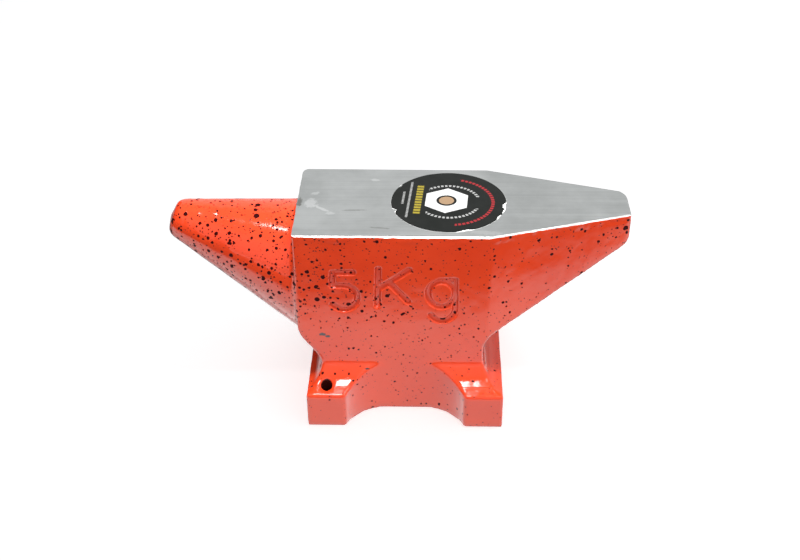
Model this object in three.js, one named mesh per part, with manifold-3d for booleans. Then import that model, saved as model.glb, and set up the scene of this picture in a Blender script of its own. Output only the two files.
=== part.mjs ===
// Five-kilogram bench anvil: one iron casting with a round paper label on its ground face.
// Millimetres. +X points to the square heel, -X to the horn, +Z up.
// The origin is the middle of the flat underside that the anvil stands on.
import * as THREE from 'three';
import { mergeVertices } from 'three/addons/utils/BufferGeometryUtils.js';
import Module from 'manifold-3d';

// ---- driving dimensions -------------------------------------------------------------------
const FACE_HEIGHT = 95.8;
const FACE_HALF_WIDTH = 30;
const FACE_LEFT_X = -49;

const HEEL_END_X = 100;
const HEEL_TAPER_START_X = 37;
const HEEL_END_HALF_WIDTH = 10.4;
const HEEL_END_THICKNESS = 14.6;
const HEEL_END_CORNER = 3;
const HEEL_UNDERSIDE_RISE = 0.64;

const HORN_APEX = { x: -128.9, z: 96.3 };
const HORN_AXIS_TILT = THREE.MathUtils.degToRad(20.95);
const HORN_HALF_ANGLE = THREE.MathUtils.degToRad(18.4);
const HORN_CAP_DISTANCE = 24;
const HORN_CAP_DOME = 0.8;
const HORN_CAP_EDGE = 3.5;
const HORN_ROOT_DISTANCE = 122;
const HORN_SIDES = 64;
const HORN_CAP_STEPS = 4;

const WAIST_LEFT = { x: -38.5, z: 24 };
const WAIST_RIGHT = { x: 35.7, z: 31 };
const WAIST_RIGHT_ARC = 10;
const WAIST_RIGHT_FLARE = 1.5;
const END_WALL_FOOT_Z = 47;
const END_WALL_PULL = 9;
const WAIST_LEFT_PULL = 10;
const BODY_ROOT_Z = 1;

const BASE_HALF_LENGTH = 45.2;
const BASE_HALF_DEPTH = 43.7;
const FOOT_HEIGHT = 18;
const ROOF_TOP_Z = 27;
const ROOF_BREAKS = [[39.7, 19.3], [38, 20.2], [34.6, 22.1]];
const ROOF_ROOT = 3;
const END_ROOF_RISE = 1;
const END_ROOF_PULL_LEFT = 1;
const END_ROOF_PULL_RIGHT = 2;
const END_ROOF_OVERLAP = 1;
const SCOOP_FLAT_HALF = 8;
const SCOOP_RADIUS = 20.6;

const SCREW_HOLE_DIAMETER = 5;
const SCREW_HOLE = { x: 36.1, y: 37.8 };
const SCREW_HOLE_SIDES = 32;

const LABEL_DIAMETER = 52;
const LABEL_THICKNESS = 0.25;
const LABEL_CENTRE_X = 19.2;
const LABEL_SIDES = 64;

// How finely curves are divided, how far cutting shapes run past what they cut, and how close
// two corners lie when they are one.
const CURVE_STEPS = 10;
const PAST = 5;
const SAME_POINT = 1e-4;

// ---- solids -------------------------------------------------------------------------------
const wasm = await Module();
wasm.setup();

// A closed three.js geometry as a solid that can be joined and cut.
function toSolid(geometry) {
  geometry.deleteAttribute('normal');
  geometry.deleteAttribute('uv');
  const merged = mergeVertices(geometry, SAME_POINT);
  return new wasm.Manifold(new wasm.Mesh({
    numProp: 3,
    vertProperties: new Float32Array(merged.attributes.position.array),
    triVerts: new Uint32Array(merged.index.array),
  }));
}

function toGeometry(solid) {
  const mesh = solid.getMesh();
  const geometry = new THREE.BufferGeometry();
  geometry.setAttribute('position', new THREE.BufferAttribute(mesh.vertProperties, 3));
  geometry.setIndex(new THREE.BufferAttribute(mesh.triVerts, 1));
  geometry.computeVertexNormals();
  return geometry;
}

function extrude(shape, depth) {
  return new THREE.ExtrudeGeometry(shape, { depth, bevelEnabled: false, curveSegments: CURVE_STEPS });
}

// A side outline drawn as (x, z), carried across Y from -halfWidth to +halfWidth.
function extrudeAcross(shape, halfWidth) {
  const geometry = extrude(shape, 2 * halfWidth);
  geometry.rotateX(Math.PI / 2);
  geometry.translate(0, halfWidth, 0);
  return toSolid(geometry);
}

// A cross-section drawn as (y, z), carried along X from -halfLength to +halfLength.
function extrudeAlong(shape, halfLength) {
  const geometry = extrude(shape, 2 * halfLength);
  const turn = new THREE.Matrix4().makeBasis(
    new THREE.Vector3(0, 1, 0),
    new THREE.Vector3(0, 0, 1),
    new THREE.Vector3(1, 0, 0),
  );
  geometry.applyMatrix4(turn);
  geometry.translate(-halfLength, 0, 0);
  return toSolid(geometry);
}

// A plan outline drawn as (x, y), carried up from z = bottom to z = top.
function extrudeUp(shape, bottom, top) {
  const geometry = extrude(shape, top - bottom);
  geometry.translate(0, 0, bottom);
  return toSolid(geometry);
}

// ---- face, heel, waist and horn -----------------------------------------------------------
// Side outline of the body, from its root in the base up the heel and back down the horn end.
function bodyOutline() {
  const heelAngle = Math.atan(HEEL_UNDERSIDE_RISE);
  const heelEndZ = FACE_HEIGHT - HEEL_END_THICKNESS;
  const heelRootZ = heelEndZ - HEEL_UNDERSIDE_RISE * (HEEL_END_X - WAIST_RIGHT.x);
  const arcZ = heelRootZ - WAIST_RIGHT_ARC * Math.tan((Math.PI / 2 - heelAngle) / 2);
  const arcX = WAIST_RIGHT.x + WAIST_RIGHT_ARC;
  const flareX = WAIST_RIGHT.x + WAIST_RIGHT_FLARE;

  const shape = new THREE.Shape();
  shape.moveTo(WAIST_LEFT.x, BODY_ROOT_Z);
  shape.lineTo(flareX, BODY_ROOT_Z);
  shape.lineTo(flareX, FOOT_HEIGHT + PAST);
  shape.quadraticCurveTo(WAIST_RIGHT.x, ROOF_TOP_Z, WAIST_RIGHT.x, WAIST_RIGHT.z);
  shape.lineTo(WAIST_RIGHT.x, arcZ);
  shape.absarc(arcX, arcZ, WAIST_RIGHT_ARC, Math.PI, Math.PI / 2 + heelAngle, true);
  shape.lineTo(HEEL_END_X - HEEL_END_CORNER, heelEndZ - HEEL_END_CORNER * HEEL_UNDERSIDE_RISE);
  shape.quadraticCurveTo(HEEL_END_X, heelEndZ, HEEL_END_X, heelEndZ + HEEL_END_CORNER);
  shape.lineTo(HEEL_END_X, FACE_HEIGHT);
  shape.lineTo(FACE_LEFT_X, FACE_HEIGHT);
  shape.lineTo(FACE_LEFT_X, END_WALL_FOOT_Z);
  shape.bezierCurveTo(
    FACE_LEFT_X, END_WALL_FOOT_Z - END_WALL_PULL,
    WAIST_LEFT.x, WAIST_LEFT.z + WAIST_LEFT_PULL,
    WAIST_LEFT.x, WAIST_LEFT.z,
  );
  return shape;
}

// Plan outline of everything above the base: parallel sides, and a heel that narrows between
// two straight ones.
function upperPlan() {
  const shape = new THREE.Shape();
  shape.moveTo(HORN_APEX.x, -FACE_HALF_WIDTH);
  shape.lineTo(HEEL_TAPER_START_X, -FACE_HALF_WIDTH);
  shape.lineTo(HEEL_END_X, -HEEL_END_HALF_WIDTH);
  shape.lineTo(HEEL_END_X + PAST, -HEEL_END_HALF_WIDTH);
  shape.lineTo(HEEL_END_X + PAST, HEEL_END_HALF_WIDTH);
  shape.lineTo(HEEL_END_X, HEEL_END_HALF_WIDTH);
  shape.lineTo(HEEL_TAPER_START_X, FACE_HALF_WIDTH);
  shape.lineTo(HORN_APEX.x, FACE_HALF_WIDTH);
  return shape;
}

// A right cone on a rising axis, whose root runs on into the body and the waist.
function makeHorn() {
  const radiusAt = (distance) => distance * Math.tan(HORN_HALF_ANGLE);
  const edgeDistance = HORN_CAP_DISTANCE + HORN_CAP_EDGE;
  const profile = new THREE.Path();
  profile.moveTo(0, HORN_CAP_DISTANCE - HORN_CAP_DOME);
  profile.lineTo(radiusAt(HORN_CAP_DISTANCE) - HORN_CAP_EDGE, HORN_CAP_DISTANCE);
  profile.quadraticCurveTo(
    radiusAt(HORN_CAP_DISTANCE), HORN_CAP_DISTANCE,
    radiusAt(edgeDistance), edgeDistance,
  );
  profile.lineTo(radiusAt(HORN_ROOT_DISTANCE), HORN_ROOT_DISTANCE);
  profile.lineTo(0, HORN_ROOT_DISTANCE);
  const geometry = new THREE.LatheGeometry(profile.getPoints(HORN_CAP_STEPS), HORN_SIDES);
  geometry.rotateZ(-Math.PI / 2);
  geometry.rotateY(HORN_AXIS_TILT);
  geometry.translate(HORN_APEX.x, 0, HORN_APEX.z);
  return toSolid(geometry);
}

// Body and horn together, cut to the plan outline so that their sides are flush.
function makeUpper() {
  const body = extrudeAcross(bodyOutline(), FACE_HALF_WIDTH + PAST);
  const plan = extrudeUp(upperPlan(), 0, FACE_HEIGHT + PAST);
  return body.add(makeHorn()).intersect(plan);
}

// ---- base ---------------------------------------------------------------------------------
// Cross-section: upright foot faces, then a roof that steepens on its way up to the waist.
function baseCrossSection() {
  const half = [
    [BASE_HALF_DEPTH, 0],
    [BASE_HALF_DEPTH, FOOT_HEIGHT],
    ...ROOF_BREAKS,
    [FACE_HALF_WIDTH, ROOF_TOP_Z],
    [FACE_HALF_WIDTH - ROOF_ROOT, ROOF_TOP_Z + ROOF_ROOT],
  ];
  const right = half.map(([y, z]) => new THREE.Vector2(y, z));
  const left = half.map(([y, z]) => new THREE.Vector2(-y, z)).reverse();
  return new THREE.Shape([...right, ...left]);
}

// Side outline: upright ends, each with a hollow roof that sweeps up to the waist.
function baseSideOutline() {
  const top = ROOF_TOP_Z + ROOF_ROOT;
  const hollowZ = FOOT_HEIGHT + END_ROOF_RISE;
  const rightPullX = WAIST_RIGHT.x + END_ROOF_PULL_RIGHT;
  const leftPullX = WAIST_LEFT.x - END_ROOF_PULL_LEFT;
  const shape = new THREE.Shape();
  shape.moveTo(-BASE_HALF_LENGTH, 0);
  shape.lineTo(BASE_HALF_LENGTH, 0);
  shape.lineTo(BASE_HALF_LENGTH, FOOT_HEIGHT);
  shape.quadraticCurveTo(rightPullX, hollowZ, WAIST_RIGHT.x - END_ROOF_OVERLAP, top);
  shape.lineTo(WAIST_LEFT.x + END_ROOF_OVERLAP, top);
  shape.quadraticCurveTo(leftPullX, hollowZ, -BASE_HALF_LENGTH, FOOT_HEIGHT);
  return shape;
}

// Plan of the hollow between the two feet on one side, where `side` is +1 or -1.
function scoopPlan(side) {
  const centreY = FACE_HALF_WIDTH + SCOOP_RADIUS;
  const turn = Math.acos((SCOOP_RADIUS - (BASE_HALF_DEPTH - FACE_HALF_WIDTH) - PAST) / SCOOP_RADIUS);
  const half = [];
  for (let step = 0; step <= CURVE_STEPS; step += 1) {
    const angle = (turn * step) / CURVE_STEPS;
    const x = SCOOP_FLAT_HALF + SCOOP_RADIUS * Math.sin(angle);
    half.push(new THREE.Vector2(x, side * (centreY - SCOOP_RADIUS * Math.cos(angle))));
  }
  const mirrored = half.map((point) => new THREE.Vector2(-point.x, point.y)).reverse();
  return new THREE.Shape([...mirrored, ...half]);
}

function makeBase() {
  const block = extrudeAlong(baseCrossSection(), BASE_HALF_LENGTH + PAST);
  let base = block.intersect(extrudeAcross(baseSideOutline(), BASE_HALF_DEPTH + PAST));
  for (const side of [-1, 1]) {
    base = base.subtract(extrudeUp(scoopPlan(side), -PAST, ROOF_TOP_Z + ROOF_ROOT + PAST));
  }
  return base;
}

// One upright screw hole through a foot: `side` is -1 at the front of the horn end, and +1 at
// the back of the heel end.
function makeScrewHole(side) {
  const radius = SCREW_HOLE_DIAMETER / 2;
  const geometry = new THREE.CylinderGeometry(radius, radius, ROOF_TOP_Z + 2 * PAST, SCREW_HOLE_SIDES);
  geometry.rotateX(Math.PI / 2);
  geometry.translate(side * SCREW_HOLE.x, side * SCREW_HOLE.y, ROOF_TOP_Z / 2);
  return toSolid(geometry);
}

// ---- assembly -----------------------------------------------------------------------------
function makeCasting() {
  let casting = makeUpper().add(makeBase());
  for (const side of [-1, 1]) {
    casting = casting.subtract(makeScrewHole(side));
  }
  const paint = new THREE.MeshStandardMaterial({ color: 0xdb4a32, roughness: 0.3, metalness: 0 });
  const mesh = new THREE.Mesh(toGeometry(casting), paint);
  mesh.name = 'anvil_casting';
  return mesh;
}

function makeLabel() {
  const radius = LABEL_DIAMETER / 2;
  const geometry = new THREE.CylinderGeometry(radius, radius, LABEL_THICKNESS, LABEL_SIDES);
  geometry.rotateX(Math.PI / 2);
  const print = new THREE.MeshStandardMaterial({ color: 0x1e231e, roughness: 0.45, metalness: 0 });
  const mesh = new THREE.Mesh(geometry, print);
  mesh.name = 'round_label';
  mesh.position.set(LABEL_CENTRE_X, 0, FACE_HEIGHT + LABEL_THICKNESS / 2);
  return mesh;
}

const anvil = new THREE.Group();
anvil.add(makeCasting(), makeLabel());

export default anvil;
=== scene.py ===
"""Looks of the bench anvil: a painted iron casting with a ground face and a torn round label."""
import math

import bmesh
import bpy
from mathutils import Matrix, Vector, noise


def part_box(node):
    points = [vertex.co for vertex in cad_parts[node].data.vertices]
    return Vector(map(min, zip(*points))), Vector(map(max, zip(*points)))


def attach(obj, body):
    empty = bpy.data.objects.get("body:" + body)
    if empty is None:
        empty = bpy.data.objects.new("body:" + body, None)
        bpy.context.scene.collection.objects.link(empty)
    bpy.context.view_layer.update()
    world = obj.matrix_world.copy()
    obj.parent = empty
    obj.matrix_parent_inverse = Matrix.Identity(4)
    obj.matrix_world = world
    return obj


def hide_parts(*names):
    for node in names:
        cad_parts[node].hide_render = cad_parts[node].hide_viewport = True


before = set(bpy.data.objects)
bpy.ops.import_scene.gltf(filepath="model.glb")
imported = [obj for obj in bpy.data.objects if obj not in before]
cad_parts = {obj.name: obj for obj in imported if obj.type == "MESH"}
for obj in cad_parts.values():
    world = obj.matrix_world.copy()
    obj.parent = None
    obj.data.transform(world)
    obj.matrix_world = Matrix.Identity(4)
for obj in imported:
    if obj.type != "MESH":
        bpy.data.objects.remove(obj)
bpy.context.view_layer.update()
MM = 0.001

# ---- sizes taken from the frame ------------------------------------------------------------
FACE_Z = Vector(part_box("anvil_casting")[1]).z
LABEL_LOW, LABEL_HIGH = (Vector(corner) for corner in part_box("round_label"))
LABEL_CENTRE = (LABEL_LOW + LABEL_HIGH) / 2
LABEL_RADIUS = (LABEL_HIGH.x - LABEL_LOW.x) / 2

# ---- the casting's own measures (metres) ---------------------------------------------------
BODY_HALF_WIDTH = 30 * MM
FRONT_Y = -BODY_HALF_WIDTH
SCREW_HOLES = ((-36.1 * MM, -37.8 * MM), (36.1 * MM, 37.8 * MM))
SCREW_HOLE_RADIUS = 2.5 * MM

WELD_DISTANCE = 0.002 * MM
FACE_TOLERANCE = 0.01 * MM
GRINDING_STOCK = 1.6 * MM
VOXEL = 0.9 * MM
SMOOTH_FACTOR = 0.5
SMOOTH_PASSES = 8

# The round of the end wall's back corner, full at the face and fading out above the horn.
END_ROUND_CENTRE = Vector((-44.5 * MM, 25.5 * MM))
END_ROUND_RADIUS = 4.5 * MM
END_ROUND_MARGIN = 0.6 * MM
END_ROUND_STARTS_Z = 76 * MM
END_ROUND_FULL_Z = 88 * MM

# Both ends of the heel's front flank, seen from above, which the back flank mirrors, and the
# directions in degrees of the flats that round the back corner.
HEEL_KINK = Vector((37 * MM, FRONT_Y, 0))
HEEL_CORNER = Vector((100 * MM, -10.4 * MM, 0))
HEEL_ROUND_RADIUS = 9 * MM
HEEL_ROUND_FLATS = (18, 36, 54)

# Waves of the cast skin, and further ones near the face: how many to the metre, and how high in
# millimetres.
SKIN_WAVES = ((90, 0.10), (260, 0.045))
RIM_WAVES = ((55, 0.20), (420, 0.18))
RIM_DEPTH = 3 * MM
UNDERSIDE_Z = 0.3 * MM

# The weight mark's groove, and the share of its depth by which its floor rises to the sides.
GROOVE_HALF_WIDTH = 1.4 * MM
GROOVE_DEPTH = 1.9 * MM
GROOVE_DISH = 0.25

# Where its walls start, how wide they are, where they have surely ended and how far the finer
# mesh reaches, all in half widths of the groove. Then the cuts that make the mesh finer.
GROOVE_WALL_STARTS = 0.5
GROOVE_WALL_WIDTH = 0.7
GROOVE_ENDS = 1.35
FINE_MESH_REACH = 1.9
FINE_MESH_CUTS = 2

# What counts as the casting's front: how far behind FRONT_Y it lies, and how it faces.
FRONT_SKIN = 1 * MM
FRONT_NORMAL_Y = -0.9

# The ground bevels: how far they reach below the face, how much they lean, and how much the
# front and back ones widen towards the heel.
BEVEL_DROP = 0.48 * MM
BEVEL_LEAN = Vector((0, 0, 1.6))
BEVEL_WIDENING = 0.005
CUT_TOLERANCE = 1e-7


# ---- mesh helpers --------------------------------------------------------------------------
def new_object(name, mesh):
    piece = bpy.data.objects.new(name, mesh)
    bpy.context.scene.collection.objects.link(piece)
    return piece


def apply_modifiers(piece):
    depsgraph = bpy.context.evaluated_depsgraph_get()
    mesh = bpy.data.meshes.new_from_object(piece.evaluated_get(depsgraph))
    piece.modifiers.clear()
    piece.data = mesh


def cut_away(work, point, normal):
    """Cuts off what lies beyond a plane, and returns the faces that close the cut."""
    everything = work.verts[:] + work.edges[:] + work.faces[:]
    cut = bmesh.ops.bisect_plane(
        work, geom=everything, plane_co=point, plane_no=normal.normalized(),
        dist=CUT_TOLERANCE, clear_outer=True,
    )
    rim = [part for part in cut["geom_cut"] if isinstance(part, bmesh.types.BMEdge)]
    rim = [edge for edge in rim if len(edge.link_faces) == 1]
    return bmesh.ops.contextual_create(work, geom=rim)["faces"]


# ---- casting -------------------------------------------------------------------------------
def as_cast(name):
    """The frame's casting with stock left on its face, remeshed so that its edges can soften."""
    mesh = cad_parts["anvil_casting"].data.copy()
    mesh.materials.clear()
    work = bmesh.new()
    work.from_mesh(mesh)
    bmesh.ops.remove_doubles(work, verts=work.verts, dist=WELD_DISTANCE)
    for vertex in work.verts:
        if vertex.co.z > FACE_Z - FACE_TOLERANCE:
            vertex.co.z += GRINDING_STOCK
    round_heel_corner(work)
    work.to_mesh(mesh)
    work.free()
    piece = new_object(name, mesh)
    remesh = piece.modifiers.new("remesh", "REMESH")
    remesh.mode = "VOXEL"
    remesh.voxel_size = VOXEL
    smooth = piece.modifiers.new("smooth", "SMOOTH")
    smooth.factor = SMOOTH_FACTOR
    smooth.iterations = SMOOTH_PASSES
    apply_modifiers(piece)
    round_end_wall_corner(piece)
    return piece


def round_heel_corner(work):
    """Takes the heel's back corner off in flats, which the smoothing blends into a round."""
    run = (HEEL_CORNER - HEEL_KINK).normalized()
    centre = Vector((
        HEEL_CORNER.x - HEEL_ROUND_RADIUS,
        -HEEL_CORNER.y - HEEL_ROUND_RADIUS * (1 - run.y) / run.x, 0,
    ))
    for degrees in HEEL_ROUND_FLATS:
        out = Vector((math.cos(math.radians(degrees)), math.sin(math.radians(degrees)), 0))
        cut_away(work, centre + out * HEEL_ROUND_RADIUS, out)


def round_end_wall_corner(piece):
    """Draws the end wall's back corner in onto a round that fades out above the horn's flank."""
    for vertex in piece.data.vertices:
        off = Vector((vertex.co.x, vertex.co.y)) - END_ROUND_CENTRE
        on_corner = -END_ROUND_RADIUS - END_ROUND_MARGIN < off.x < 0 < off.y
        share = (vertex.co.z - END_ROUND_STARTS_Z) / (END_ROUND_FULL_Z - END_ROUND_STARTS_Z)
        if on_corner and share > 0 and off.length > END_ROUND_RADIUS:
            pull = off * (END_ROUND_RADIUS / off.length - 1) * min(1, share)
            vertex.co.x += pull.x
            vertex.co.y += pull.y


def skin_height(point, waves):
    return sum(noise.noise(point * fineness) * height for fineness, height in waves)


def roughen(piece):
    """The slight unevenness of sand-cast skin under the paint, stronger near the ground face."""
    work = bmesh.new()
    work.from_mesh(piece.data)
    for vertex in work.verts:
        if vertex.co.z < UNDERSIDE_Z:
            continue
        swell = skin_height(vertex.co, SKIN_WAVES)
        if vertex.co.z > FACE_Z - RIM_DEPTH:
            swell += skin_height(vertex.co, RIM_WAVES)
        vertex.co += vertex.normal * swell * MM
    work.to_mesh(piece.data)
    work.free()


def true_up_screw_holes(piece):
    """Brings the softened hole walls back to the drill's radius."""
    for vertex in piece.data.vertices:
        for x, y in SCREW_HOLES:
            off = Vector((vertex.co.x - x, vertex.co.y - y))
            if 0 < off.length < SCREW_HOLE_RADIUS:
                off *= SCREW_HOLE_RADIUS / off.length
                vertex.co.x, vertex.co.y = x + off.x, y + off.y


def weight_mark_strokes():
    """Centre lines of the sunk weight mark, as (x, z) points in millimetres on the front."""
    def arc(centre, radii, start, stop, steps=16):
        turns = [math.radians(start + (stop - start) * step / steps) for step in range(steps + 1)]
        across, up = radii
        return [(centre[0] + across * math.cos(t), centre[1] + up * math.sin(t)) for t in turns]

    five = [(-22.9, 77.1), (-31.7, 77.0), (-32.4, 70.0)]
    five += arc((-27.3, 63.6), (6.1, 6.5), 92, -145)
    k_stem = [(-11.6, 79.0), (-12.3, 59.2)]
    k_upper_arm = [(-11.8, 68.4), (1.9, 78.7)]
    k_lower_arm = [(-6.6, 71.4), (1.4, 61.6)]
    g_bowl = arc((16.3, 65.9), (6.0, 6.9), 0, 360, 32)
    g_stem = [(15.6, 73.1), (22.2, 73.4), (22.4, 58.3)]
    g_stem += arc((16.7, 57.6), (5.7, 6.3), 0, -150)
    return [five, k_stem, k_upper_arm, k_lower_arm, g_bowl, g_stem]


def distance_to_stroke(x, z, stroke):
    best = math.inf
    for (ax, az), (bx, bz) in zip(stroke, stroke[1:]):
        length2 = (bx - ax) ** 2 + (bz - az) ** 2
        along = ((x - ax) * (bx - ax) + (z - az) * (bz - az)) / length2
        along = min(1, max(0, along))
        off_x = x - ax - along * (bx - ax)
        off_z = z - az - along * (bz - az)
        best = min(best, math.hypot(off_x, off_z))
    return best


def groove_profile(share):
    """Share of the groove's full depth: 1 on its centre line, 0 past its lip."""
    wall = min(1, max(0, (share - GROOVE_WALL_STARTS) / GROOVE_WALL_WIDTH))
    dish = 1 - GROOVE_DISH * min(1, share) ** 2
    return dish * (1 - wall * wall * (3 - 2 * wall))


def sink_weight_mark(piece):
    """Presses the strokes into the front, where the mesh is made finer first."""
    strokes = [[(x * MM, z * MM) for x, z in stroke] for stroke in weight_mark_strokes()]
    reach = GROOVE_HALF_WIDTH * FINE_MESH_REACH
    stroke_x = [x for stroke in strokes for x, z in stroke]
    stroke_z = [z for stroke in strokes for x, z in stroke]
    low_x, high_x = min(stroke_x) - reach, max(stroke_x) + reach
    low_z, high_z = min(stroke_z) - reach, max(stroke_z) + reach

    def around_mark(point):
        beside = low_x < point.x < high_x and low_z < point.z < high_z
        return beside and point.y <= FRONT_Y + FRONT_SKIN

    def distance(point):
        return min(distance_to_stroke(point.x, point.z, stroke) for stroke in strokes)

    def under_mark(face):
        centre = face.calc_center_median()
        if face.normal.y > FRONT_NORMAL_Y or not around_mark(centre):
            return False
        return distance(centre) < reach

    work = bmesh.new()
    work.from_mesh(piece.data)
    faces = [face for face in work.faces if under_mark(face)]
    edges = list({edge for face in faces for edge in face.edges})
    bmesh.ops.subdivide_edges(work, edges=edges, cuts=FINE_MESH_CUTS, use_grid_fill=True)
    sunk = work.verts.layers.float.new("groove")
    for vertex in work.verts:
        if not around_mark(vertex.co):
            continue
        share = distance(vertex.co) / GROOVE_HALF_WIDTH
        if share < GROOVE_ENDS:
            vertex[sunk] = groove_profile(share)
            vertex.co.y += GROOVE_DEPTH * vertex[sunk]
    work.to_mesh(piece.data)
    work.free()


def grind(piece):
    """Cuts the face flat and takes a narrow, uneven bevel off its front, back and heel edges."""
    work = bmesh.new()
    work.from_mesh(piece.data)
    run = (HEEL_CORNER - HEEL_KINK).normalized()
    bevel_z = FACE_Z - BEVEL_DROP
    cuts = [(Vector((0, 0, FACE_Z)), Vector((0, 0, 1)))]
    for side in (-1, 1):
        out = Vector((BEVEL_WIDENING, side, 0)).normalized()
        cuts.append((Vector((0, side * BODY_HALF_WIDTH, bevel_z)), out + BEVEL_LEAN))
        out = Vector((run.y, side * run.x, 0))
        cuts.append((Vector((HEEL_CORNER.x, -side * HEEL_CORNER.y, bevel_z)), out + BEVEL_LEAN))
    cuts.append((Vector((HEEL_CORNER.x, 0, bevel_z)), Vector((1, 0, 0)) + BEVEL_LEAN))
    for point, normal in cuts:
        for face in cut_away(work, point, normal):
            face.material_index = 1
            face.smooth = False
    bmesh.ops.recalc_face_normals(work, faces=work.faces)
    work.to_mesh(piece.data)
    work.free()


def make_casting(paint, iron):
    """The casting, with the paint as its first material and the ground iron as its second."""
    piece = as_cast("anvil_body")
    roughen(piece)
    true_up_screw_holes(piece)
    sink_weight_mark(piece)
    piece.data.materials.append(paint)
    piece.data.materials.append(iron)
    for polygon in piece.data.polygons:
        polygon.use_smooth = True
    grind(piece)
    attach(piece, "root")
    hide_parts("anvil_casting")
    return piece


# ---- node helpers --------------------------------------------------------------------------
# A blotch's ragged edge: how fine and how strong it is, and over what it fades.
BLOTCH_FINENESS = 700
BLOTCH_RAGGEDNESS = 1.3
BLOTCH_FADE = (1.2, 1.7)
HOLE_SHADE_EDGE = 0.25 * MM


class Nodes:
    """Short names for the shader nodes that the materials share."""

    def __init__(self, name):
        self.material = bpy.data.materials.new(name)
        self.material.use_nodes = True
        self.tree = self.material.node_tree
        self.tree.nodes.clear()
        self.shader = self.tree.nodes.new("ShaderNodeBsdfPrincipled")
        output = self.tree.nodes.new("ShaderNodeOutputMaterial")
        self.tree.links.new(self.shader.outputs[0], output.inputs[0])
        self.place = self.tree.nodes.new("ShaderNodeTexCoord").outputs["Object"]

    def feed(self, socket, value):
        if isinstance(value, bpy.types.NodeSocket):
            self.tree.links.new(value, socket)
        else:
            socket.default_value = value

    def math(self, operation, first, second=0.0, third=0.0):
        node = self.tree.nodes.new("ShaderNodeMath")
        node.operation = operation
        for socket, value in zip(node.inputs, (first, second, third)):
            self.feed(socket, value)
        return node.outputs[0]

    def product(self, first, *others):
        for other in others:
            first = self.math("MULTIPLY", first, other)
        return first

    def highest(self, first, *others):
        for other in others:
            first = self.math("MAXIMUM", first, other)
        return first

    def distance(self, x, y, middle):
        """How far (x, y) is from the point `middle`."""
        off_x = self.math("ABSOLUTE", self.math("SUBTRACT", x, middle[0]))
        off_y = self.math("ABSOLUTE", self.math("SUBTRACT", y, middle[1]))
        across, along = self.math("POWER", off_x, 2), self.math("POWER", off_y, 2)
        return self.math("SQRT", self.math("ADD", across, along))

    def ramp(self, value, low, high, to_low=0.0, to_high=1.0, smooth=True):
        node = self.tree.nodes.new("ShaderNodeMapRange")
        node.interpolation_type = "SMOOTHSTEP" if smooth else "LINEAR"
        for socket, setting in zip(node.inputs, (value, low, high, to_low, to_high)):
            self.feed(socket, setting)
        return node.outputs[0]

    def mix(self, share, first, second):
        node = self.tree.nodes.new("ShaderNodeMix")
        node.data_type = "RGBA"
        self.feed(node.inputs["Factor"], share)
        self.feed(node.inputs[6], first)
        self.feed(node.inputs[7], second)
        return node.outputs[2]

    def moved(self, location=(0, 0, 0), rotation=(0, 0, 0), scale=(1, 1, 1), vector=None):
        node = self.tree.nodes.new("ShaderNodeMapping")
        node.vector_type = "POINT"
        self.feed(node.inputs["Vector"], vector or self.place)
        node.inputs["Location"].default_value = location
        node.inputs["Rotation"].default_value = rotation
        node.inputs["Scale"].default_value = scale
        return node.outputs[0]

    def noise(self, scale, detail=3, roughness=0.5, vector=None, output="Fac"):
        node = self.tree.nodes.new("ShaderNodeTexNoise")
        self.feed(node.inputs["Vector"], vector or self.place)
        node.inputs["Scale"].default_value = scale
        node.inputs["Detail"].default_value = detail
        node.inputs["Roughness"].default_value = roughness
        return node.outputs[output]

    def separate(self, vector):
        node = self.tree.nodes.new("ShaderNodeSeparateXYZ")
        self.feed(node.inputs[0], vector)
        return node.outputs

    def blotch(self, spot, spread, lean=0.0):
        """A ragged spot: its centre, its half sizes, and how far it leans in the X-Y plane."""
        centred = self.moved(location=[-value * MM for value in spot])
        turned = self.moved(rotation=(0, 0, math.radians(lean)), vector=centred)
        scaled = self.moved(scale=[1 / (value * MM) for value in spread], vector=turned)
        length = self.tree.nodes.new("ShaderNodeVectorMath")
        length.operation = "LENGTH"
        self.feed(length.inputs[0], scaled)
        grain = self.noise(BLOTCH_FINENESS)
        ragged = self.math("MULTIPLY_ADD", grain, BLOTCH_RAGGEDNESS, length.outputs["Value"])
        return self.ramp(ragged, *BLOTCH_FADE, 1, 0)

    def hole_shade(self):
        """1 on the walls of the screw holes, which are darkened as painted shade where little light
        reaches, and where little paint reaches.
        """
        x, y, z = self.separate(self.place)
        mirrored_x = self.math("ABSOLUTE", x)
        mirrored_y = self.math("MULTIPLY", y, self.math("SIGN", x))
        reach = self.distance(mirrored_x, mirrored_y, SCREW_HOLES[1])
        return self.ramp(reach, SCREW_HOLE_RADIUS, SCREW_HOLE_RADIUS + HOLE_SHADE_EDGE, 1, 0)

    def bump(self, height, distance, strength=1.0, normal=None):
        node = self.tree.nodes.new("ShaderNodeBump")
        node.inputs["Distance"].default_value = distance
        node.inputs["Strength"].default_value = strength
        self.feed(node.inputs["Height"], height)
        if normal:
            self.feed(node.inputs["Normal"], normal)
        return node.outputs[0]

    def set(self, **values):
        for name, value in values.items():
            self.feed(self.shader.inputs[name.replace("_", " ")], value)
        return self.material


# ---- paint ---------------------------------------------------------------------------------
ENAMEL_LIGHT = (0.80, 0.062, 0.016, 1)
ENAMEL_DARK = (0.73, 0.050, 0.013, 1)
GROOVE_PALE_TINT = (0.50, 0.22, 0.19, 1)
GROOVE_PALE_TINT_SHARE = 0.16
HOLE_SHADE_COLOUR = (0.035, 0.004, 0.003, 1)
FINE_INK = (0.085, 0.006, 0.004, 1)
BIG_INK = (0.030, 0.001, 0.001, 1)
CHIP_COLOUR = (0.055, 0.035, 0.035, 1)
ENAMEL_IOR = 1.5
ENAMEL_ROUGHNESS = (0.07, 0.14)
DROP_EXTRA_ROUGHNESS = 0.5
ENAMEL_SPECULAR = 0.5
DROP_SPECULAR = 0.08

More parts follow.
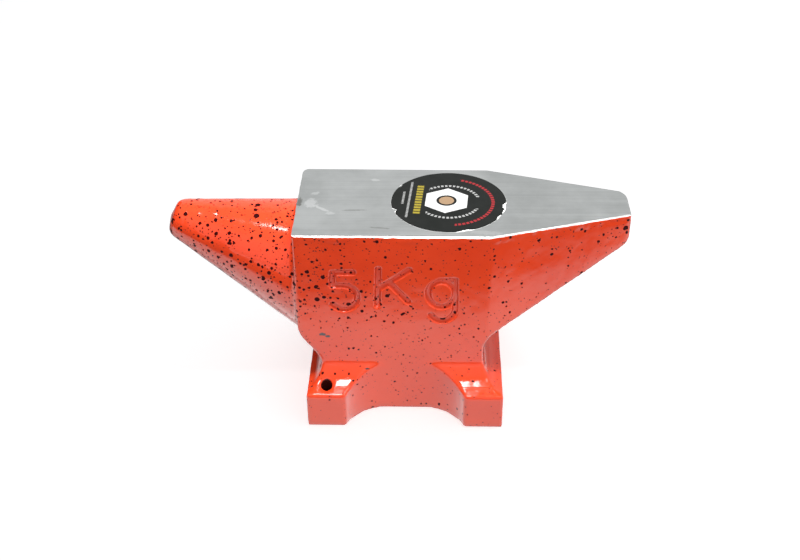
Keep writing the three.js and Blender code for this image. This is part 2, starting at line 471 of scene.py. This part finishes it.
# How fine the noises in the paint are, in waves to the metre, and the values between which most
# of a noise lies.
ENAMEL_CLOUDS = 26
GLOSS_CLOUDS = 140
SWELL_WAVES = 130
PEEL_WAVES = 420
DRIFT_WAVES = 38
WOBBLE_WAVES = 900
STEP_WAVES = 110
MIDDLE_OF_NOISE = (0.3, 0.7)

SWELL_HEIGHT = 0.14 * MM
SWELL_STRENGTH = 0.9
PEEL_HEIGHT = 0.035 * MM
PEEL_STRENGTH = 0.9
DROP_HEIGHT = 0.6
SOFT_NOISE_ROUGHNESS = 0.4
CLOUD_ROUGHNESS = 0.55

# Spatter in three sizes. Each row holds the cell that has one drop at most, the smallest and the
# largest radius in millimetres, and the share of cells with a drop, as a slope and a base over
# how crowded the spatter is.
FINE_DROPS = (1.35, 0.16, 0.42, 0.6, 0.4)
MIDDLE_DROPS = (2.1, 0.35, 0.85, 0.9, 0.1)
BIG_DROPS = (3.5, 0.65, 1.4, 1.1, -0.25)
SMALL_DROP_BIAS = 2.5
DROP_EDGE = (-0.03 * MM, 0.09 * MM)
DROP_WOBBLE = 0.7 * MM

# The spatter grows towards the horn, drifts a little, and thins out towards the foot.
SPARSE_X = 60 * MM
CROWDED_X = -45 * MM
HORN_SHARE = 0.6
DRIFT_SHARE = 0.4
DRIFT_RANGE = (0.35, 0.65)
SPARSE_Z = 22 * MM
CROWDED_Z = 66 * MM
CROWD_AT_FOOT = 0.15

# A low step in the skin runs along the roofs of the feet: where in Y, how far it wanders, how
# high it is, and between which heights the roofs lie.
STEP_Y = (38.7 * MM, 39.2 * MM)
STEP_WANDER = 0.8 * MM
STEP_HEIGHT = 0.12 * MM
ROOF_TOP = (24 * MM, 22 * MM)
ROOF_EAVES = (17.4 * MM, 18.2 * MM)

# Centre and half sizes in millimetres of the darker chips in the paint.
PAINT_CHIPS = (
    ((-37.6, -30, 43.2), (2.0, 2, 1.0)),
    ((-35.2, -30, 42.0), (1.4, 2, 0.8)),
    ((-17.6, -31, 24.8), (1.7, 2, 0.6)),
    ((-24.5, -43.5, 4.2), (0.9, 1.5, 1.5)),
)


def speckles(nodes, place, crowd, kind):
    """Round drops of one kind: one drop at most in each cell, and only in some cells."""
    cell, smallest, largest = (value * MM for value in kind[:3])
    share = nodes.math("MULTIPLY_ADD", crowd, *kind[3:])
    cells = nodes.tree.nodes.new("ShaderNodeTexVoronoi")
    cells.inputs["Scale"].default_value = 1 / cell
    nodes.feed(cells.inputs["Vector"], place)
    chance = nodes.separate(cells.outputs["Color"])
    size = nodes.math("POWER", chance[0], SMALL_DROP_BIAS)
    radius = nodes.ramp(size, 0, 1, smallest / cell, largest / cell, smooth=False)
    present = nodes.math("LESS_THAN", chance[1], share)
    gap = nodes.math("SUBTRACT", radius, cells.outputs["Distance"])
    drop = nodes.ramp(gap, *(edge / cell for edge in DROP_EDGE))
    return nodes.product(drop, present)


def spatter(nodes, x, z):
    """Where the fine drops are, and where the middle and the big ones are."""
    wobble = nodes.tree.nodes.new("ShaderNodeVectorMath")
    wobble.operation = "MULTIPLY_ADD"
    nodes.feed(wobble.inputs[0], nodes.noise(WOBBLE_WAVES, 2, output="Color"))
    wobble.inputs[1].default_value = (DROP_WOBBLE,) * 3
    nodes.feed(wobble.inputs[2], nodes.place)
    place = wobble.outputs[0]

    towards_horn = nodes.ramp(x, SPARSE_X, CROWDED_X)
    drift = nodes.ramp(nodes.noise(DRIFT_WAVES, 2), *DRIFT_RANGE)
    crowd = nodes.product(drift, DRIFT_SHARE)
    crowd = nodes.math("MULTIPLY_ADD", towards_horn, HORN_SHARE, crowd)
    crowd = nodes.product(crowd, nodes.ramp(z, SPARSE_Z, CROWDED_Z, CROWD_AT_FOOT, 1))
    fine = speckles(nodes, place, crowd, FINE_DROPS)
    middle = speckles(nodes, place, crowd, MIDDLE_DROPS)
    big = speckles(nodes, place, crowd, BIG_DROPS)
    return fine, nodes.highest(middle, big)


def roof_step(nodes, y, z):
    """1 on the outer side of the low step along the roofs of the feet."""
    from_middle = nodes.math("ABSOLUTE", y)
    wander = nodes.math("MULTIPLY_ADD", nodes.noise(STEP_WAVES, 2), STEP_WANDER, from_middle)
    on_roof = nodes.product(nodes.ramp(z, *ROOF_TOP), nodes.ramp(z, *ROOF_EAVES))
    return nodes.product(nodes.ramp(wander, *STEP_Y), on_roof)


def paint_material():
    nodes = Nodes("spattered_enamel")
    x, y, z = nodes.separate(nodes.place)
    fine, bigger = spatter(nodes, x, z)
    drops = nodes.highest(fine, bigger)

    clouds = nodes.ramp(nodes.noise(ENAMEL_CLOUDS, 4, CLOUD_ROUGHNESS), *MIDDLE_OF_NOISE)
    enamel = nodes.mix(clouds, ENAMEL_LIGHT, ENAMEL_DARK)
    # The groove of the weight mark is mixed towards a paler, greyer red.
    groove = nodes.tree.nodes.new("ShaderNodeAttribute")
    groove.attribute_name = "groove"
    groove_tint = nodes.product(groove.outputs["Fac"], GROOVE_PALE_TINT_SHARE)
    enamel = nodes.mix(groove_tint, enamel, GROOVE_PALE_TINT)
    # Painted shade: the walls of the screw holes are darkened.
    enamel = nodes.mix(nodes.hole_shade(), enamel, HOLE_SHADE_COLOUR)
    colour = nodes.mix(drops, enamel, nodes.mix(bigger, FINE_INK, BIG_INK))
    for spot, spread in PAINT_CHIPS:
        colour = nodes.mix(nodes.blotch(spot, spread), colour, CHIP_COLOUR)

    gloss = nodes.ramp(nodes.noise(GLOSS_CLOUDS), *MIDDLE_OF_NOISE, *ENAMEL_ROUGHNESS)
    rough = nodes.math("MULTIPLY_ADD", drops, DROP_EXTRA_ROUGHNESS, gloss)
    waves = nodes.noise(SWELL_WAVES, 2, SOFT_NOISE_ROUGHNESS)
    normal = nodes.bump(waves, SWELL_HEIGHT, SWELL_STRENGTH)
    normal = nodes.bump(roof_step(nodes, y, z), STEP_HEIGHT, normal=normal)
    peel = nodes.noise(PEEL_WAVES, 2, SOFT_NOISE_ROUGHNESS)
    height = nodes.math("MULTIPLY_ADD", drops, DROP_HEIGHT, peel)
    return nodes.set(
        Base_Color=colour, Roughness=rough, IOR=ENAMEL_IOR,
        Specular_IOR_Level=nodes.ramp(drops, 0, 1, ENAMEL_SPECULAR, DROP_SPECULAR),
        Normal=nodes.bump(height, PEEL_HEIGHT, PEEL_STRENGTH, normal),
    )


# ---- bare iron -----------------------------------------------------------------------------
IRON_DARK = (0.50, 0.515, 0.505, 1)
IRON_LIGHT = (0.69, 0.705, 0.695, 1)
PALE_MARK = (0.90, 0.91, 0.90, 1)
DARK_MARK = (0.26, 0.26, 0.24, 1)
IRON_ROUGHNESS = (0.36, 0.46)
IRON_TONES = (0.32, 0.68)

# Grinding strokes: waves to the metre along each axis, how far the second set is turned, and
# how much each set counts.
LENGTHWISE_STROKES = (14, 800, 800)
SLANTED_STROKES = (22, 600, 600)
SLANT = math.radians(27)
LENGTHWISE_SHARE = 0.55
SLANTED_SHARE = 0.45
IRON_CLOUDS = 34
IRON_NOISE_ROUGHNESS = 0.6
CLOUD_SHARE = 0.6
GRAIN_SHARE = 0.4
GRAIN_HEIGHT = 0.008 * MM
GRAIN_STRENGTH = 0.5

# Centre and half sizes in millimetres, lean in degrees, strength.
PALE_MARKS = (
    ((-42.8, -2.0, 95.8), (3.4, 4.6, 2), 0, 0.65),
    ((-37.6, -6.6, 95.8), (6.5, 1.1, 2), 38, 0.75),
    ((-33.4, -10.6, 95.8), (2.2, 1.3, 2), 0, 0.55),
    ((-41.5, 6.8, 95.8), (2.4, 1.5, 2), -20, 0.5),
    ((-14.8, 19.3, 95.8), (2.6, 1.4, 2), 10, 0.6),
    ((35.0, -25.8, 95.8), (9.0, 1.8, 2), 4, 0.35),
)
DARK_MARKS = (
    ((-48.0, -1.2, 95.8), (1.4, 4.4, 2), 0, 0.9),
    ((-22.5, -7.8, 95.8), (6.5, 0.7, 2), -2, 0.45),
    ((-10.8, -22.6, 95.8), (5.5, 0.7, 2), 6, 0.5),
    ((12.0, -29.0, 95.8), (24.0, 0.5, 2), 0, 0.5),
    ((-32.0, -28.9, 95.8), (15.0, 0.5, 2), 0, 0.35),
)


def iron_material():
    nodes = Nodes("ground_iron")
    lengthwise = nodes.moved(scale=LENGTHWISE_STROKES)
    strokes = nodes.noise(1, 4, IRON_NOISE_ROUGHNESS, lengthwise)
    slanted = nodes.moved(rotation=(0, 0, SLANT), scale=SLANTED_STROKES)
    cross_strokes = nodes.noise(1, 3, IRON_NOISE_ROUGHNESS, slanted)
    cross_strokes = nodes.product(cross_strokes, SLANTED_SHARE)
    grain = nodes.math("MULTIPLY_ADD", strokes, LENGTHWISE_SHARE, cross_strokes)
    cloud = nodes.noise(IRON_CLOUDS, 5, IRON_NOISE_ROUGHNESS)
    tone = nodes.math("MULTIPLY_ADD", cloud, CLOUD_SHARE, nodes.product(grain, GRAIN_SHARE))
    colour = nodes.mix(nodes.ramp(tone, *IRON_TONES), IRON_DARK, IRON_LIGHT)
    for marks, mark_colour in ((PALE_MARKS, PALE_MARK), (DARK_MARKS, DARK_MARK)):
        for spot, spread, lean, strength in marks:
            mark = nodes.product(nodes.blotch(spot, spread, lean), strength)
            colour = nodes.mix(mark, colour, mark_colour)
    rough = nodes.ramp(grain, *MIDDLE_OF_NOISE, *IRON_ROUGHNESS)
    return nodes.set(
        Base_Color=colour, Metallic=1.0, Roughness=rough,
        Normal=nodes.bump(grain, GRAIN_HEIGHT, GRAIN_STRENGTH),
    )


# ---- label: shape --------------------------------------------------------------------------
PAPER_THICKNESS = 0.10 * MM
PRINT_THICKNESS = 0.05 * MM
PRINT_INSET = 0.05 * MM
RIM_STEPS = 480
MOST_CORNERS = 4

# Tears in the rim: direction and half width in degrees, depth in millimetres.
PAPER_TEARS = ((198, 4, 1.5), (-7, 5, 0.5), (-25, 7, 0.5), (-74, 4, 0.3))
PRINT_TEARS = (
    (198, 5, 1.7), (-8, 7, 2.4), (-19, 6, 0.9), (-30, 6, 1.1), (-74, 10, 1.3), (148, 3, 0.3),
)
TEAR_SHARPNESS = 1.5

# How ragged a tear is: the share of its depth that it has on average, how much that swings, and
# the waves to the degree.
TEAR_BASE = 0.75
TEAR_SWING = 0.5
TEAR_WAVES = 0.9

# The rim's own unevenness: waves to the degree, its height, and what sets two rims apart.
RIM_WAVES_TO_DEGREE = 0.12
RIM_UNEVENNESS = 0.06 * MM
RIM_SEED = 900


def torn_reach(degrees, radius, tears):
    """How far the torn rim lies from the middle in one direction."""
    bite = 0.0
    for angle, spread, depth in tears:
        away = abs((degrees - angle + 180) % 360 - 180) / spread
        if away < 1:
            wave = noise.noise(Vector((degrees * TEAR_WAVES, angle, depth)))
            ragged = TEAR_BASE + TEAR_SWING * wave
            bite = max(bite, depth * MM * (1 - away ** TEAR_SHARPNESS) * ragged)
    wave = noise.noise(Vector((degrees * RIM_WAVES_TO_DEGREE, radius * RIM_SEED, 0)))
    return radius - bite + RIM_UNEVENNESS * wave


def torn_disc(name, radius, tears, low, high, material):
    """A thin disc between two heights, whose rim is bitten by ragged tears."""
    mesh = bpy.data.meshes.new(name)
    work = bmesh.new()
    rim = []
    for step in range(RIM_STEPS):
        degrees = 360 * step / RIM_STEPS
        turn = math.radians(degrees)
        reach = torn_reach(degrees, radius, tears)
        x = LABEL_CENTRE.x + reach * math.cos(turn)
        y = LABEL_CENTRE.y + reach * math.sin(turn)
        rim.append(work.verts.new((x, y, low)))
    base = work.faces.new(rim)
    raised = bmesh.ops.extrude_face_region(work, geom=[base])
    top = [part for part in raised["geom"] if isinstance(part, bmesh.types.BMVert)]
    bmesh.ops.translate(work, verts=top, vec=(0, 0, high - low))
    bmesh.ops.recalc_face_normals(work, faces=work.faces)
    wide = [face for face in work.faces if len(face.verts) > MOST_CORNERS]
    bmesh.ops.triangulate(work, faces=wide)
    work.to_mesh(mesh)
    work.free()
    piece = new_object(name, mesh)
    mesh.materials.append(material)
    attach(piece, "root")
    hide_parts("round_label")
    return piece


# ---- label: print --------------------------------------------------------------------------
PRINT_BLACK = (0.003, 0.004, 0.003, 1)
PRINT_WORN_BLACK = (0.009, 0.010, 0.009, 1)
PRINT_RED = (0.24, 0.016, 0.02, 1)
PRINT_YELLOW = (0.24, 0.19, 0.02, 1)
PRINT_TAN = (0.26, 0.17, 0.10, 1)
PRINT_WHITE = (0.50, 0.50, 0.49, 1)
PRINT_IOR = 1.22
PRINT_ROUGHNESS = (0.30, 0.40)
PRINT_WEAR_WAVES = 160
PRINT_GLOSS_WAVES = 220
PRINT_BUMP_WAVES = 300
PRINT_BUMP_HEIGHT = 0.02 * MM
PRINT_BUMP_STRENGTH = 0.5
FAINT = 0.55

# The layout, in millimetres from the label's middle, turned by the label's tilt. A box is its
# middle and its half sizes, a ring its outer and inner radius, and dashes are their pitch and
# the share of it that is printed. The nut's flats are directions in degrees. The dashes of an arc
# have their pitch at ARC_DASH_RADIUS, and DASH_OFFSET keeps the lengths they divide above zero.
LABEL_TILT = math.radians(-4.5)
PRINT_EDGE = 0.12
NUT_CENTRE = (-1.0, 0.8)
NUT_HALF_WIDTH = 9.4
NUT_HOLE_RADIUS = 4.6
NUT_CORE_RADIUS = 3.4
NUT_FLATS = (0, 60, 120)
LONG_RULE = (-17.8, 0.5, 0.5, 15.5)
SHORT_RULE = (-20.6, 1.5, 0.5, 5.5)
RULE_DASHES = (1.15, 0.62)
SMALL_PRINT_RING = (14.6, 13.2)
SMALL_PRINT_DASHES = (2.6, 0.6)
SMALL_PRINT_GAP_Y = 5.0
SMALL_PRINT_START_X = -9.5
YELLOW_BAR = (-13.6, 0.8, 1.5, 12.4)
YELLOW_DASHES = (2.3, 0.7)
RED_RING = (20.7, 19.2)
RED_DASHES = (1.9, 0.7)
RED_START_X = 4.0
ARC_DASH_RADIUS = 20
DASH_OFFSET = 60


def print_material():
    """Black print with plain shapes: a white nut, and broken rules and arcs for small print."""
    nodes = Nodes("label_print")
    centred = nodes.moved(location=(-LABEL_CENTRE.x, -LABEL_CENTRE.y, 0))
    in_mm = (1 / MM,) * 3
    x, y, z = nodes.separate(nodes.moved((0, 0, 0), (0, 0, -LABEL_TILT), in_mm, centred))

    def inside(value, limit):
        return nodes.ramp(value, limit - PRINT_EDGE, limit + PRINT_EDGE, 1, 0)

    def outside(value, limit):
        return nodes.math("SUBTRACT", 1, inside(value, limit))

    def box(middle_x, middle_y, half_x, half_y):
        off_x = nodes.math("ABSOLUTE", nodes.math("SUBTRACT", x, middle_x))
        off_y = nodes.math("ABSOLUTE", nodes.math("SUBTRACT", y, middle_y))
        return nodes.product(inside(off_x, half_x), inside(off_y, half_y))

    def ring(outer, inner):
        return nodes.product(inside(from_centre, outer), outside(from_centre, inner))

    def nut_reach(degrees):
        """Distance from the nut's middle line, measured square to one pair of its flats."""
        turn = math.radians(degrees)
        across = nodes.product(nodes.math("SUBTRACT", x, NUT_CENTRE[0]), math.cos(turn))
        off_y = nodes.math("SUBTRACT", y, NUT_CENTRE[1])
        return nodes.math("ABSOLUTE", nodes.math("MULTIPLY_ADD", off_y, math.sin(turn), across))

    def dashes(along, pitch, filled):
        shifted = nodes.math("ADD", along, DASH_OFFSET)
        wave = nodes.math("FRACT", nodes.math("DIVIDE", shifted, pitch))
        return nodes.math("LESS_THAN", wave, filled)

    from_centre = nodes.distance(x, y, (0, 0))
    from_nut = nodes.distance(x, y, NUT_CENTRE)
    arc_length = nodes.product(nodes.math("ARCTAN2", y, x), ARC_DASH_RADIUS)
    nut = nodes.highest(*(nut_reach(degrees) for degrees in NUT_FLATS))
    nut = nodes.product(inside(nut, NUT_HALF_WIDTH), outside(from_nut, NUT_HOLE_RADIUS))
    rules = nodes.highest(box(*LONG_RULE), box(*SHORT_RULE))
    rules = nodes.product(rules, dashes(y, *RULE_DASHES))
    small_print = nodes.product(
        ring(*SMALL_PRINT_RING), dashes(arc_length, *SMALL_PRINT_DASHES),
        nodes.math("GREATER_THAN", nodes.math("ABSOLUTE", y), SMALL_PRINT_GAP_Y),
        nodes.math("GREATER_THAN", x, SMALL_PRINT_START_X),
    )
    white = nodes.highest(nut, nodes.product(nodes.highest(rules, small_print), FAINT))
    yellow = nodes.product(box(*YELLOW_BAR), dashes(y, *YELLOW_DASHES))
    red = nodes.product(
        ring(*RED_RING), dashes(arc_length, *RED_DASHES),
        nodes.math("GREATER_THAN", x, RED_START_X),
    )

    colour = nodes.mix(nodes.noise(PRINT_WEAR_WAVES), PRINT_BLACK, PRINT_WORN_BLACK)
    colour = nodes.mix(red, colour, PRINT_RED)
    colour = nodes.mix(yellow, colour, PRINT_YELLOW)
    colour = nodes.mix(inside(from_nut, NUT_CORE_RADIUS), colour, PRINT_TAN)
    colour = nodes.mix(white, colour, PRINT_WHITE)
    gloss = nodes.ramp(nodes.noise(PRINT_GLOSS_WAVES), *MIDDLE_OF_NOISE, *PRINT_ROUGHNESS)
    bumps = nodes.noise(PRINT_BUMP_WAVES)
    return nodes.set(
        Base_Color=colour, Roughness=gloss, IOR=PRINT_IOR,
        Normal=nodes.bump(bumps, PRINT_BUMP_HEIGHT, PRINT_BUMP_STRENGTH),
    )


# ---- label: paper --------------------------------------------------------------------------
PAPER_SHADE = (0.74, 0.74, 0.72, 1)
PAPER_LIGHT = (0.86, 0.86, 0.85, 1)
PAPER_ROUGHNESS = 0.85
FIBRE_WAVES = 2600
FIBRE_NOISE_ROUGHNESS = 0.7
FIBRE_HEIGHT = 0.03 * MM
FIBRE_STRENGTH = 0.8


def paper_material():
    nodes = Nodes("label_paper")
    fibre = nodes.noise(FIBRE_WAVES, 4, FIBRE_NOISE_ROUGHNESS)
    return nodes.set(
        Base_Color=nodes.mix(fibre, PAPER_SHADE, PAPER_LIGHT), Roughness=PAPER_ROUGHNESS,
        Normal=nodes.bump(fibre, FIBRE_HEIGHT, FIBRE_STRENGTH),
    )


def make_label():
    """White paper on the face, and on it the black print, which is torn further in."""
    paper_top = FACE_Z + PAPER_THICKNESS
    print_top = paper_top + PRINT_THICKNESS
    print_radius = LABEL_RADIUS - PRINT_INSET
    return [
        torn_disc("label_paper", LABEL_RADIUS, PAPER_TEARS, FACE_Z, paper_top, paper_material()),
        torn_disc("label_print", print_radius, PRINT_TEARS, paper_top, print_top, print_material()),
    ]


# ---- studio --------------------------------------------------------------------------------
FLOOR_SIZE = (8, 8)
FLOOR_ROUGHNESS = 0.8
FLOOR_IOR = 1.3
FLOOR_GLOW = 0.64
CARD_ROUGHNESS = 0.9

# Tones that differ a little across the floor and the flag, and their waves to the metre.
TONE_WAVES = 3
FLOOR_TONES = ((0.88, 0.88, 0.88, 1), (0.90, 0.90, 0.90, 1))
FLAG_TONES = ((0.03, 0.03, 0.03, 1), (0.04, 0.04, 0.04, 1))

# The world's light at the horizon, overhead and from below, and the heights of the direction,
# from -1 to 1, between which it changes.
LIGHT_AROUND = 0.78
LIGHT_OVERHEAD = 0.35
LIGHT_FROM_BELOW = 0.38
WORLD_COLOUR = (0.98, 0.99, 1.0, 1)
HORIZON = (-0.15, 0.15)
OVERHEAD = (0.6, 0.95)

# Area lamps: name, place, size in metres, power in watts, and whether reflections show them.
LAMPS = (
    ("overhead_softbox", (0.12, 0.02, 0.95), (0.45, 0.45), 9.5, False),
    ("front_fill", (0.15, -0.95, 0.6), (0.5, 0.4), 3.9, False),
    ("overhead_lamp", (-0.065, -0.13, 0.93), (0.25, 0.12), 3.6, True),
    ("right_lamp", (0.42, -0.11, 0.9), (0.14, 0.10), 1.2, True),
)
LAMP_TARGET = (0, 0, 0.05)

CAMERA_POSITION = (11.07 * MM, -465.27 * MM, 372.58 * MM)
CAMERA_TARGET = (-2.99 * MM, 0, 52.9 * MM)
CAMERA_ROLL = math.radians(-0.5)
CAMERA_LENS_MM = 54
CAMERA_SENSOR_MM = 36


def sheet(name, size, location):
    mesh = bpy.data.meshes.new(name)
    work = bmesh.new()
    bmesh.ops.create_grid(work, x_segments=1, y_segments=1, size=0.5)
    bmesh.ops.scale(work, vec=(size[0], size[1], 1), verts=work.verts)
    work.to_mesh(mesh)
    work.free()
    piece = new_object(name, mesh)
    piece.location = location
    return piece


def make_floor():
    """A pale floor that glows a little, so that the anvil's shadow on it stays faint."""
    floor = sheet("floor", FLOOR_SIZE, (0, 0, 0))
    nodes = Nodes("floor")
    floor.data.materials.append(nodes.set(
        Base_Color=nodes.mix(nodes.noise(TONE_WAVES, 2), *FLOOR_TONES),
        Roughness=FLOOR_ROUGHNESS, IOR=FLOOR_IOR,
        Emission_Color=(1, 1, 1, 1), Emission_Strength=FLOOR_GLOW,
    ))
    floor.visible_diffuse = False


def make_card(name, size, location, near, far, turn=0.0):
    """A glowing card on the floor that only reflections see. Its glow fades between two lines
    across it, `near` and `far`, each given as its Y on the card and the glow from there on."""
    card = sheet(name, size, location)
    card.rotation_euler.z = turn
    nodes = Nodes(name)
    x, y, z = nodes.separate(nodes.place)
    card.data.materials.append(nodes.set(
        Base_Color=(0, 0, 0, 1), Roughness=CARD_ROUGHNESS, IOR=1.0,
        Emission_Color=(1, 1, 1, 1),
        Emission_Strength=nodes.ramp(y, far[0], near[0], far[1], near[1]),
    ))
    card.visible_camera = False
    card.visible_diffuse = False
    card.visible_shadow = False


def make_left_flag():
    """A dark board on the left that takes light off the horn's tip and the hollow under it."""
    flag = sheet("left_flag", (0.5, 1.2), (-0.42, 0.1, 0.2))
    flag.rotation_euler.y = math.radians(90)
    nodes = Nodes("left_flag")
    tone = nodes.mix(nodes.noise(TONE_WAVES, 2), *FLAG_TONES)
    flag.data.materials.append(nodes.set(Base_Color=tone, Roughness=CARD_ROUGHNESS))
    flag.visible_camera = False
    flag.visible_shadow = False


def add_area(name, location, size, power, glossy, receivers):
    """An area lamp aimed at the anvil that lights only the objects in `receivers`."""
    light = bpy.data.lights.new(name, "AREA")
    light.shape = "RECTANGLE"
    light.size, light.size_y = size
    light.energy = power
    lamp = bpy.data.objects.new(name, light)
    bpy.context.scene.collection.objects.link(lamp)
    lamp.location = location
    aim = Vector(LAMP_TARGET) - Vector(location)
    lamp.rotation_euler = aim.to_track_quat("-Z", "Y").to_euler()
    lamp.visible_glossy = glossy
    lamp.light_linking.receiver_collection = receivers


def make_world():
    """Soft light from all round: brightest at the horizon, dimmer overhead and from below."""
    world = bpy.data.worlds.new("studio")
    world.use_nodes = True
    tree = world.node_tree
    background = tree.nodes["Background"]
    direction = tree.nodes.new("ShaderNodeTexCoord")
    height = tree.nodes.new("ShaderNodeSeparateXYZ")
    tree.links.new(direction.outputs["Generated"], height.inputs[0])

    def fade(low, high, to_low, to_high):
        node = tree.nodes.new("ShaderNodeMapRange")
        node.interpolation_type = "SMOOTHSTEP"
        for socket, value in zip(node.inputs[1:], (low, high, to_low, to_high)):
            socket.default_value = value
        tree.links.new(height.outputs["Z"], node.inputs["Value"])
        return node.outputs[0]

    strength = tree.nodes.new("ShaderNodeMath")
    strength.operation = "MULTIPLY"
    from_below = fade(*HORIZON, LIGHT_FROM_BELOW / LIGHT_AROUND, 1)
    tree.links.new(from_below, strength.inputs[0])
    tree.links.new(fade(*OVERHEAD, LIGHT_AROUND, LIGHT_OVERHEAD), strength.inputs[1])
    tree.links.new(strength.outputs[0], background.inputs["Strength"])
    background.inputs["Color"].default_value = WORLD_COLOUR
    bpy.context.scene.world = world


def make_lights(pieces):
    """Lamps that light only the anvil, and the cards and the flag that it reflects."""
    anvil_only = bpy.data.collections.new("anvil_only")
    for piece in pieces:
        anvil_only.objects.link(piece)
    for name, location, size, power, glossy in LAMPS:
        add_area(name, location, size, power, glossy, anvil_only)
    make_card(
        "front_card", size=(1.2, 0.62), location=(0.0, -0.31, 0.001),
        near=(0.225, 2.1), far=(0.175, 0.05), turn=math.radians(2),
    )
    make_left_flag()
    make_card(
        "grey_card", size=(2.4, 1.0), location=(0, 0.54, 0.001),
        near=(-0.5, 0.45), far=(0.5, 0.45),
    )


def make_camera():
    data = bpy.data.cameras.new("camera")
    data.lens = CAMERA_LENS_MM
    data.sensor_width = CAMERA_SENSOR_MM
    camera = bpy.data.objects.new("camera", data)
    bpy.context.scene.collection.objects.link(camera)
    camera.location = CAMERA_POSITION
    aim = Vector(CAMERA_TARGET) - Vector(CAMERA_POSITION)
    level = aim.to_track_quat("-Z", "Y").to_matrix()
    camera.rotation_euler = (level @ Matrix.Rotation(CAMERA_ROLL, 3, "Z")).to_euler()
    bpy.context.scene.camera = camera


def main():
    bpy.context.scene.view_settings.view_transform = "Standard"
    make_camera()
    make_world()
    make_floor()
    pieces = [make_casting(paint_material(), iron_material())] + make_label()
    make_lights(pieces)


main()
